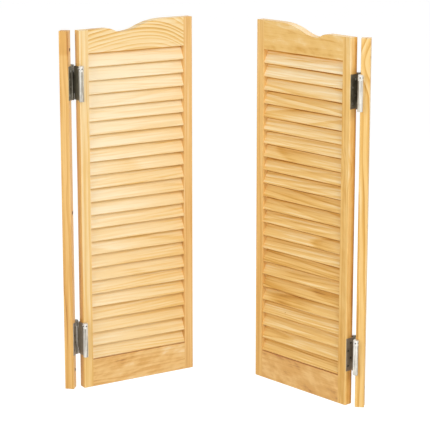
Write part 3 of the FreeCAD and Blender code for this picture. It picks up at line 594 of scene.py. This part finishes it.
def sheet_steel(name, axes, flat, shaded, drawn_with_reflection):
    """Plated sheet: flat leaves darkened as a painted reflection, a back barrel in painted shade and
    a drawn front one painted bright as a painted reflection.
    """
    board = new_board(name)
    x, y, z = board.split(board.place())
    back, front = (board.fade(distance_from(board, axis), *BARREL_SKIN) for axis in axes)
    barrel = board.maths("MAXIMUM", back, front)
    scratch = board.noise(board.join(x * 1500, y * 1500, z * 40), 2.0)
    cloud = board.noise(board.join(x * 90, y * 90, z * 60), 3.0)
    patch = (cloud - 0.5) * 0.5 + (scratch - 0.5) * 0.35 + 0.5
    # Upright bands of painted highlight on the barrels.
    band = board.noise(board.join(x * 300, y * 300, z * 6), 1.0)
    patch_and_highlights = (patch - 0.5) * 0.6 + (band - 0.5) * 1.6 + 0.5
    colour = board.blend(
        back, tones(board, patch, flat, 0.2, 0.8), tones(board, patch_and_highlights, shaded, 0.2, 0.8))
    colour = board.blend(front, colour, tones(board, patch_and_highlights, drawn_with_reflection, 0.2, 0.8))
    bump = board.node("ShaderNodeBump", None, {
        "Strength": 0.2, "Distance": 0.0001, "Height": scratch,
    }, "Normal")
    return board.finish(
        base_color=colour, metallic=0.7 - barrel * 0.25,
        roughness=0.46 - barrel * 0.14 + (cloud - 0.5) * 0.2,
        normal=bump,
    )


def barrel_axes(side):
    """Where the two barrels of a unit stand, back one first, as the doors stand."""
    x, y, _ = STANDS[side]["corner"]
    link = STANDS["left"]["turn"] if side == "left" else 0.0
    beside, before = 2 * BARREL_OFFSET, 2 * BARREL_Y
    return (x, y), (
        x + beside * math.cos(link) + before * math.sin(link),
        y + beside * math.sin(link) - before * math.cos(link),
    )


print("left barrels stand at", [tuple(round(v, 4) for v in axis) for axis in barrel_axes("left")])

# %% Hinge finishes
# Painted light on the hinge steel: the flats are darkened as a painted reflection, the back barrels
# get painted shade with painted highlights on the lower hinges, and the front barrels a painted
# bright reflection.
FLAT = {
    "lower": ((142, 130, 114), (186, 174, 156)),
    "upper": ((106, 100, 84), (150, 143, 124)),
}
SHADED = {
    "lower": ((96, 90, 80), (246, 242, 234)),
    "upper": ((72, 68, 58), (132, 126, 112)),
}
DRAWN_WITH_REFLECTION = ((146, 140, 126), (240, 237, 228))
for side in STANDS:
    for hinge, flat in FLAT.items():
        steel = sheet_steel(
            f"{side}_{hinge}_hinge_sheet", barrel_axes(side), flat, SHADED[hinge], DRAWN_WITH_REFLECTION)
        cover(steel, *(f"{side}_{hinge}_{part}" for part in (
            "centre_web", "strip_flange", "door_flange")))
print("hinge leaves, webs and barrels finished on both sides")

# %% [markdown]
# ## Turned steel
# Caps, pins and spindles are turned on a lathe, so their marks run round them. On the cap's top the
# marks are rings about the barrel's axis, on its side they are lines at a level. Both come from
# noise that only knows the distance from the axis and the height. As on the sheet, the back barrels'
# pieces are painted duller, as painted shade. Down in the caps' small radial holes the steel is
# painted black, a painted shade for the depth of the holes. The springs are oiled wire, and darker:
# their close-wound coils show as bands up the sleeve that stands for them.

# %% Turned finishes
HOLE_LEVELS, HOLE_REACH = (0.1918, 0.9425), 0.0025
CAP_SKIN = (0.00745, 0.0069)  # distances from a cap's axis: on its side, and down in a hole
LATHE_MARKS = 2600  # to a metre
COIL = 0.0019
HOLE_SHADE = (*paint(14, 13, 12), 1.0)
BACK_CARRIER = {"left": "strip", "right": "door"}


def turned_steel(name, axes, pair, coils=0.0):
    """Turned and plated steel, or wire wound with a coil of the given pitch."""
    board = new_board(name)
    z = board.split(board.place())[2]
    near = board.maths("MINIMUM", *(distance_from(board, axis) for axis in axes))
    if coils:
        marks = board.maths("SINE", z * (2 * math.pi / coils)) * 0.3 + 0.5
    else:
        marks = board.noise(board.join(near * LATHE_MARKS, z * LATHE_MARKS, 0.0), 2.0)
    bump = board.node("ShaderNodeBump", None, {
        "Strength": 0.3 if coils else 0.12, "Distance": 0.0002, "Height": marks,
    }, "Normal")
    # Painted shade: black down in the caps' radial holes.
    drop = board.maths("MINIMUM", *(board.maths("ABSOLUTE", z - hole) for hole in HOLE_LEVELS))
    in_hole = board.maths("LESS_THAN", drop, HOLE_REACH) * board.fade(near, *CAP_SKIN)
    colour = board.blend(in_hole, tones(board, marks, pair, 0.25, 0.75), HOLE_SHADE)
    return board.finish(
        base_color=colour, metallic=0.5, roughness=0.28 + marks * 0.12, normal=bump,
    )


for side in STANDS:
    axes = barrel_axes(side)
    bright = turned_steel(f"{side}_front_turned", axes, ((204, 201, 192), (240, 238, 232)))
    # The back pieces are painted dull, as painted shade.
    dull = turned_steel(f"{side}_back_turned", axes, ((104, 100, 90), (156, 151, 140)))
    wound = turned_steel(f"{side}_spring_steel", axes, ((60, 58, 55), (128, 126, 122)), COIL)
    for carrier in ("strip", "door"):
        turned = dull if carrier == BACK_CARRIER[side] else bright
        cover(turned, f"{side}_{carrier}_tension_pins")
        for hinge in FLAT:
            barrel = f"{side}_{hinge}_{carrier}"
            cover(turned, f"{barrel}_tension_cap", f"{barrel}_spindle")
            cover(wound, f"{barrel}_spring")
print("caps, pins, spindles and springs finished")

# %% [markdown]
# ## Hinge screws
# Each flange is held by four countersunk screws with a cross recess. One screw is modelled lying
# along Z, with its head at the origin: a disc, pushed down and drawn in for the countersink, then
# down again for the shank and the point. Two tapered bars cut the cross. The disc is the usual way
# to start a turned shape, since every step keeps the ring of edges that the next one needs.

# %% Clean selection
def begin():
    """Leaves edit mode and selects nothing."""
    if bpy.context.mode != "OBJECT":
        bpy.ops.object.mode_set(mode="OBJECT")
    bpy.ops.object.select_all(action="DESELECT")


def push(depth, spread):
    """Extrudes the selected face down by a depth and scales it about the Z axis."""
    bpy.ops.mesh.extrude_region_move(TRANSFORM_OT_translate={"value": (0, 0, -depth)})
    bpy.ops.transform.resize(value=(spread, spread, 1))


print("ready to model")

# %% One screw
HEAD, SHANK = 0.0034, 0.0019  # radii
RIM, SINK, LENGTH, POINT = 0.00015, 0.0015, 0.0180, 0.0040  # lengths from the head down
TIP = 0.12  # the point's end, as a share of the shank
CROSS_BAR, CROSS_TAPER = (0.0040, 0.00085, 0.0028), 0.45


def model_screw():
    """One plain countersunk screw along Z, its head at the origin."""
    begin()
    bpy.ops.mesh.primitive_circle_add(vertices=32, radius=HEAD, fill_type="NGON")
    screw = bpy.context.active_object
    bpy.ops.object.mode_set(mode="EDIT")
    bpy.ops.mesh.select_all(action="SELECT")
    push(RIM, 1.0)
    push(SINK - RIM, SHANK / HEAD)
    push(LENGTH - SINK - POINT, 1.0)
    push(POINT, TIP)
    bpy.ops.mesh.select_all(action="SELECT")
    bpy.ops.mesh.normals_make_consistent(inside=False)
    bpy.ops.object.mode_set(mode="OBJECT")
    return screw


def cut_cross(screw):
    """Cuts two tapered bars, square to each other, out of the head."""
    for turn in (0.0, math.pi / 2):
        begin()
        bpy.ops.mesh.primitive_cube_add(size=1, location=(0, 0, 0), rotation=(0, 0, turn))
        bar = bpy.context.active_object
        bar.scale = CROSS_BAR
        bpy.ops.object.transform_apply(location=False, rotation=True, scale=True)
        for corner in bar.data.vertices:
            if corner.co.z < 0:
                corner.co.x *= CROSS_TAPER
                corner.co.y *= CROSS_TAPER
        begin()
        screw.select_set(True)
        bpy.context.view_layer.objects.active = screw
        cut = screw.modifiers.new("cross", "BOOLEAN")
        cut.object, cut.operation, cut.solver = bar, "DIFFERENCE", "EXACT"
        bpy.ops.object.modifier_apply(modifier=cut.name)
        bpy.data.objects.remove(bar)


pattern_screw = model_screw()
cut_cross(pattern_screw)
print(f"one screw: {len(pattern_screw.data.polygons)} faces, {LENGTH * 1000:.0f} mm long")

# %% [markdown]
# The CAD screws say where the heads sit: the points of a node fall into eight groups by height, and
# the middle of each group's outer end is the middle of a head. Every copy gets a small turn of its
# own, because nobody lines up the crosses. A row of screws is one piece, and rides with its flange.

# %% Screws in their holes
SAME_SCREW, SAME_FACE = 0.005, 0.0001  # steps in height and in depth that part two groups
FIRST_TURN, NEXT_TURN = 0.35, 0.9


def screw_heads(node, outward):
    """The middle of each screw head of a node whose heads face outward."""
    points = sorted((v.co.copy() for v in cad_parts[node].data.vertices), key=lambda p: p.z)
    groups = [[points[0]]]
    for point in points[1:]:
        if point.z - groups[-1][-1].z > SAME_SCREW:
            groups.append([])
        groups[-1].append(point)
    heads = []
    for group in groups:
        top = max(point.dot(outward) for point in group)
        rim = [point for point in group if top - point.dot(outward) < SAME_FACE]
        low = Vector(min(point[axis] for point in rim) for axis in range(3))
        high = Vector(max(point[axis] for point in rim) for axis in range(3))
        heads.append((low + high) / 2)
    return heads


def screws_of(side, carrier, body):
    """The screws of one carrier's two flanges, joined into one piece."""
    stand = STANDS[side]
    turn = stand["turn"] if carrier == "door" else 0.0
    towards = -stand["away"] if carrier == "door" else stand["away"]
    outward = Vector((math.cos(turn), math.sin(turn), 0)) * towards
    node = f"{side}_{carrier}_hinge_screws"
    begin()
    for number, head in enumerate(screw_heads(node, outward)):
        copy = bpy.data.objects.new("screw", pattern_screw.data.copy())
        bpy.context.scene.collection.objects.link(copy)
        face_out = outward.to_track_quat("Z", "Y").to_matrix().to_4x4()
        own_turn = Matrix.Rotation(NEXT_TURN * number + FIRST_TURN, 4, "Z")
        copy.data.transform(Matrix.Translation(head) @ face_out @ own_turn)
        copy.select_set(True)
        bpy.context.view_layer.objects.active = copy
    bpy.ops.object.join()
    row = bpy.context.active_object
    row.name = f"{side}_{carrier}_cross_screws"
    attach(row, body)
    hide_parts(node)
    return row


screw_rows = []
for side in STANDS:
    screw_rows.append(screws_of(side, "strip", "jamb_strips"))
    screw_rows.append(screws_of(side, "door", f"{side}_door"))
bpy.data.objects.remove(pattern_screw)
print(len(screw_rows), "rows of eight screws")

# %% [markdown]
# The upper screws are bright and the lower ones dull, and the finish fades from one to the other
# with height.

# %% Screw finish
DULL, BRIGHT = ((70, 66, 58), (120, 116, 104)), ((176, 172, 160), (236, 233, 224))
MIDDLE_HEIGHTS = (0.4, 0.6)  # up to the first all is dull, from the second on all is bright


def screw_steel():
    """Zinc plating, dull below the middle of the doors and bright above it."""
    board = new_board("screw_steel")
    x, y, z = board.split(board.place())
    cloud = board.noise(board.join(x * 700, y * 700, z * 700), 2.0)
    dull = tones(board, cloud, DULL, 0.3, 0.7)
    bright = tones(board, cloud, BRIGHT, 0.3, 0.7)
    upper = board.fade(z, *MIDDLE_HEIGHTS)
    colour = board.blend(upper, dull, bright)
    return board.finish(
        base_color=colour, metallic=upper * 0.3 + 0.6,
        roughness=0.5 - upper * 0.2 + (cloud - 0.5) * 0.2,
    )


plating = screw_steel()
for row in screw_rows:
    row.data.materials.clear()
    row.data.materials.append(plating)
print("screws plated")

# %% [markdown]
# ## Studio
# The doors hang from their strips, so the floor lies well below them and keeps only a soft shadow.
# The picture's ground should read as plain white without flooding the wood with light. The floor
# is white paint, and where the camera or a reflection looks at it, a glow is mixed in. The world
# does the same: it lights the scene gently, and shows as white only where it is looked at.

# %% Floor and world
FLOOR_LEVEL, FLOOR_RADIUS = -0.42, 24
WHITE = (1.0, 1.0, 1.0, 1.0)


def looked_at(board):
    """1 where the camera sees the surface, straight or in a mirror or glass."""
    seen = board.node("ShaderNodeLightPath", None, None, "Is Camera Ray")
    for ray in ("Is Glossy Ray", "Is Transmission Ray"):
        seen = board.maths("MAXIMUM", seen, board.node("ShaderNodeLightPath", None, None, ray))
    return seen


def studio_floor():
    """A wide white disc below the doors."""
    begin()
    bpy.ops.mesh.primitive_circle_add(
        vertices=96, radius=FLOOR_RADIUS, fill_type="NGON", location=(0, 0, FLOOR_LEVEL))
    floor = bpy.context.active_object
    floor.name = "studio_floor"
    board = new_board("studio_white")
    x, y, _ = board.split(board.place())
    cloud = board.noise(board.join(x * 0.6, y * 0.6, 0.0))
    shade = board.ramp(cloud, ((0.3, (0.86,) * 3), (0.7, (0.88,) * 3)))
    matt = board.node("ShaderNodeBsdfDiffuse", None, {"Color": shade})
    glow = board.node("ShaderNodeEmission", None, {"Color": WHITE, "Strength": 1.5})
    both = board.node("ShaderNodeMixShader", None, {0: looked_at(board) * 0.55, 1: matt, 2: glow})
    board.node("ShaderNodeOutputMaterial", None, {"Surface": both})
    floor.data.materials.append(board.owner)
    return floor


def studio_world(name, strength):
    """Soft light from all sides, of the given strength."""
    world = bpy.data.worlds.new(name)
    sky = Board(world)
    gentle = sky.node("ShaderNodeBackground", None, {"Color": WHITE, "Strength": strength})
    white = sky.node("ShaderNodeBackground", None, {"Color": WHITE, "Strength": 1.0})
    both = sky.node("ShaderNodeMixShader", None, {0: looked_at(sky), 1: gentle, 2: white})
    sky.node("ShaderNodeOutputWorld", None, {"Surface": both})
    bpy.context.scene.world = world


floor = studio_floor()
studio_world("studio_world", 0.45)
print("floor at", floor.location.z, "m")

# %% [markdown]
# ## Lamps
# A broad soft box stands to the right of the camera and above it. It faces the left door and grazes
# the right one, so the left door is the brighter of the two. A weaker one on the left opens up the
# shadows between the slats. A third hangs behind the doors and catches their heads and backs, and a
# small one near the floor lifts the undersides of the slats.

# %% Lamps
def soft_box(name, place, aim, width, watts, colour):
    """A square area lamp at a place, turned to what it aims at."""
    light = bpy.data.lights.new(name, "AREA")
    light.shape, light.size, light.energy, light.color = "SQUARE", width, watts, colour
    lamp = bpy.data.objects.new(name, light)
    bpy.context.scene.collection.objects.link(lamp)
    lamp.location = place
    lamp.rotation_euler = (Vector(aim) - Vector(place)).to_track_quat("-Z", "Y").to_euler()


soft_box("key_box", (2.6, -2.9, 3.2), (0.0, 0.1, 0.6), 1.6, 75.0, (1.0, 0.985, 0.95))
soft_box("fill_box", (-2.6, -3.6, 2.4), (0.2, 0.1, 0.5), 1.8, 67.0, (1.0, 0.985, 0.95))
soft_box("back_box", (0.4, 3.4, 3.6), (0.0, 0.1, 0.8), 1.8, 42.0, (1.0, 1.0, 1.0))
soft_box("low_box", (1.9, -2.6, -0.1), (0.2, 0.0, 0.5), 0.5, 12.0, (1.0, 1.0, 1.0))
bpy.context.scene.view_settings.view_transform = "Standard"
print("four soft boxes")
